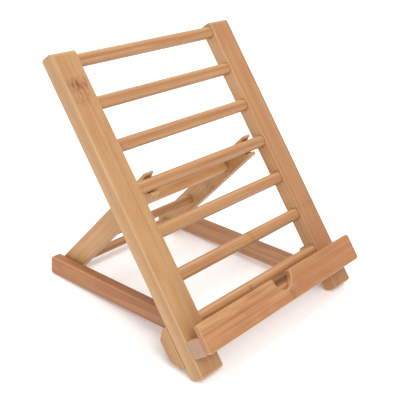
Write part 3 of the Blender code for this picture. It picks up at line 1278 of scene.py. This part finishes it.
@dataclass
class PropFrame(SubAssembly):
    """Two hooked arms, the dowel and the slat between them."""

    rear_radius: float = 0.0060
    heel_radius: float = 0.0096
    edge: float = 0.0008
    fork_play: float = 0.0004
    hook_tip: float = 0.0020
    hook_tip_radius: float = 0.0010
    mouth_start: float = 0.0006
    mouth_radius: float = 0.0030
    jaw_setback: float = 0.0010
    jaw_radius: float = 0.0012
    slat_edge: float = 0.0012
    slat_corner: float = 0.00144

    def arm(self, side: str) -> bpy.types.Object:
        """Model one arm, its fork hooked round the middle rung.

        Args:
            side: Which side of the stand.

        Returns:
            The arm in the frame's own axes.
        """
        low, high = self.axes.box(f"prop_arm_{side}")
        rung = self.axes.centre("rung_4")
        rung_low, rung_high = self.axes.box("rung_4")
        slot = (rung_high.y - rung_low.y) / 2 + self.fork_play
        floor = rung.z - slot
        jaw = rung.z - self.jaw_setback
        corners = [
            (low.y, low.z, self.heel_radius),
            (high.y, low.z, self.rear_radius),
            (high.y, high.z, self.hook_tip_radius),
            (high.y - self.hook_tip, high.z, self.hook_tip_radius * (1 - ARC_SPARE)),
            (slot, rung.z + self.mouth_start, self.mouth_radius),
            (slot, floor, slot * ARC_SHARE),
            (-slot, floor, jaw - floor - self.jaw_radius * (1 + ARC_SPARE)),
            (-slot, jaw, self.jaw_radius),
            (low.y, jaw, self.jaw_radius),
        ]
        shape = board(f"arm_{side}", corners, Plane.SIDE, low.x, high.x, self.edge)
        radius = self.hole_radius("prop_spacer_dowel")
        bore(shape, Vector((0.0, 0.0, 0.0)), radius, low.x - CUT_MARGIN, high.x + CUT_MARGIN)
        self.seat(shape, side, "prop_spacer_dowel", low, high)
        return shape

    def slat(self) -> bpy.types.Object:
        """Model the slat between the arms.

        Returns:
            The slat in the frame's own axes.
        """
        low, high = self.axes.box("prop_crossbar")
        outline = rectangle(low, high, self.slat_corner)
        return board("prop_slat", outline, Plane.SIDE, low.x, high.x, self.slat_edge)

    def build(self) -> None:
        """Model and dress the prop frame's pieces."""
        knuckles = {"left": (), "right": (Knuckle(place=0.082, width=0.009, depth=0.6),)}
        for number, side in enumerate(SIDES):
            self.keep(
                self.arm(side), f"prop_arm_{side}", "prop_bamboo", PROP_BAMBOO, Grain.UP,
                figure_seed("arm", number), knuckles[side],
            )
        shape = dowel("spacer_dowel", *self.axes.box("prop_spacer_dowel"))
        self.keep(
            shape, "prop_spacer_dowel", "prop_bamboo", RUNG_BAMBOO, Grain.ACROSS,
            figure_seed("spacer"),
        )
        self.keep(
            self.slat(), "prop_crossbar", "prop_bamboo", SLAT_BAMBOO_PAINTED_LIGHT, Grain.ACROSS,
            figure_seed("slat"),
        )


# ---------------------------------------------------------------- studio


@dataclass(frozen=True)
class Lamp:
    """Square soft light: where it hangs, the side of its face and its power in watts."""

    name: str
    place: tuple[float, float, float]
    size: float
    power: float


LAMPS = (
    Lamp("key", place=(-1.0, -1.1, 1.7), size=0.9, power=20.0),
    Lamp("top", place=(0.2, 0.2, 1.9), size=1.2, power=16.0),
)
WHITE = (1.0, 1.0, 1.0)
FLOOR_WHITE = (0.93, 0.93, 0.93)
SENSOR_WIDTH = 36.0
NEAREST_SIGHT = 0.01
FARTHEST_SIGHT = 50.0


@dataclass
class Studio:
    """Pale floor, soft light and the camera."""

    centre: Vector
    floor_size: float = 6.0
    floor_drop: float = 0.0002
    floor_roughness: float = 0.9
    floor_shine: float = 0.1
    aim_shift: tuple[float, float, float] = (-0.0084, -0.0004, -0.0188)
    distance: float = 0.796
    azimuth: float = -54.17
    elevation: float = 25.23
    roll: float = 6.82
    lens: float = 77.65
    sky: float = 0.74
    floor_glow: float = 0.18

    def floor(self) -> None:
        """Lay the floor on which the stand rests."""
        deselect()
        bpy.ops.mesh.primitive_plane_add(
            size=self.floor_size, location=(0.0, 0.0, -self.floor_drop)
        )
        ground = bpy.context.active_object
        ground.name = "studio_floor"
        shader = Shader("studio_floor")
        shader.set("Base Color", FLOOR_WHITE)
        shader.set("Roughness", self.floor_roughness)
        shader.set("Specular IOR Level", self.floor_shine)
        shader.set("Emission Color", WHITE)
        shader.set("Emission Strength", self.floor_glow)
        ground.data.materials.append(shader.material)
        ground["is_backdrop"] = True

    def hang(self, lamp: Lamp) -> None:
        """Hang a soft light so that it faces the stand.

        Args:
            lamp: The light.
        """
        data = bpy.data.lights.new(lamp.name, "AREA")
        data.size = lamp.size
        data.energy = lamp.power
        light = bpy.data.objects.new(lamp.name, data)
        light.location = lamp.place
        aim = self.centre - Vector(lamp.place)
        light.rotation_euler = aim.to_track_quat("-Z", "Y").to_euler()
        bpy.context.scene.collection.objects.link(light)

    def lights(self) -> None:
        """Set the white surround and the soft lights."""
        world = bpy.data.worlds.new("studio")
        world.use_nodes = True
        background = world.node_tree.nodes["Background"]
        background.inputs["Color"].default_value = (*WHITE, 1.0)
        background.inputs["Strength"].default_value = self.sky
        bpy.context.scene.world = world
        for lamp in LAMPS:
            self.hang(lamp)

    def camera(self) -> None:
        """Set the camera on the stand from its left front."""
        data = bpy.data.cameras.new("view")
        data.lens = self.lens
        data.sensor_width = SENSOR_WIDTH
        data.clip_start = NEAREST_SIGHT
        data.clip_end = FARTHEST_SIGHT
        camera = bpy.data.objects.new("view", data)
        around, above = math.radians(self.azimuth), math.radians(self.elevation)
        back = Vector((
            math.sin(around) * math.cos(above),
            -math.cos(around) * math.cos(above),
            math.sin(above),
        ))
        camera.location = self.centre + Vector(self.aim_shift) + back * self.distance
        upright = (-back).to_track_quat("-Z", "Y").to_matrix().to_4x4()
        leaned = upright @ Matrix.Rotation(math.radians(self.roll), 4, "Z")
        camera.rotation_euler = leaned.to_euler()
        bpy.context.scene.collection.objects.link(camera)
        bpy.context.scene.camera = camera

    def build(self) -> None:
        """Set the whole studio."""
        self.floor()
        self.lights()
        self.camera()
        bpy.context.scene.view_settings.view_transform = "Standard"


def joint_origin(name: str) -> Vector:
    """Point on a joint's axis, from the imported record."""
    return next(Vector(joint["pos_m"]) for joint in frame["joints"] if joint["name"] == name)


def frame_axes() -> tuple[Axes, Axes, Axes]:
    """Work out the three frames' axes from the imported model.

    Returns:
        The axes of the front, base and prop frames.
    """
    front = joint_origin("front_tilt")
    rear = joint_origin("prop_fold")
    face = next(m for m in frame["record"]["mounts"] if m["name"] == "shelf_top")
    upward = Vector(face["axis"])
    along = rear - front
    low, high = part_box("rung_4")
    reach = (low + high) / 2 - rear
    return (
        Axes(front, -math.atan2(upward.y, upward.z)),
        Axes(front, math.atan2(along.z, along.y)),
        Axes(rear, -math.atan2(reach.y, reach.z)),
    )


def main() -> None:
    """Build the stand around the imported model, dress it and light it."""
    logging.basicConfig(level=logging.INFO, format="%(message)s")
    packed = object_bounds()
    front_axes, base_axes, prop_axes = frame_axes()
    assemblies = (
        FrontFrame(front_axes, "front_frame"),
        Ledge(front_axes, "front_frame"),
        PivotBlocks(front_axes, "front_frame"),
        BaseFrame(base_axes, "base_frame"),
        PropFrame(prop_axes, "prop_frame"),
    )
    for assembly in assemblies:
        assembly.build()
        assembly.report()
    Studio((packed[0] + packed[1]) / 2).build()


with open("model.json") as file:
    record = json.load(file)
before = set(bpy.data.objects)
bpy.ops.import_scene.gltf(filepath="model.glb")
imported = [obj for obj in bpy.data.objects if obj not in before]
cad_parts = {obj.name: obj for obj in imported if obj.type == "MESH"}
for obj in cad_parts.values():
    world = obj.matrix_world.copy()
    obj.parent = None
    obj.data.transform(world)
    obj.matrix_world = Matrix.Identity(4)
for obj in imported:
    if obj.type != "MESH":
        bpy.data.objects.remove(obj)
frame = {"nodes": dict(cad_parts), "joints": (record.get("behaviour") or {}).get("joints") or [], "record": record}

if __name__ == "__main__":
    main()
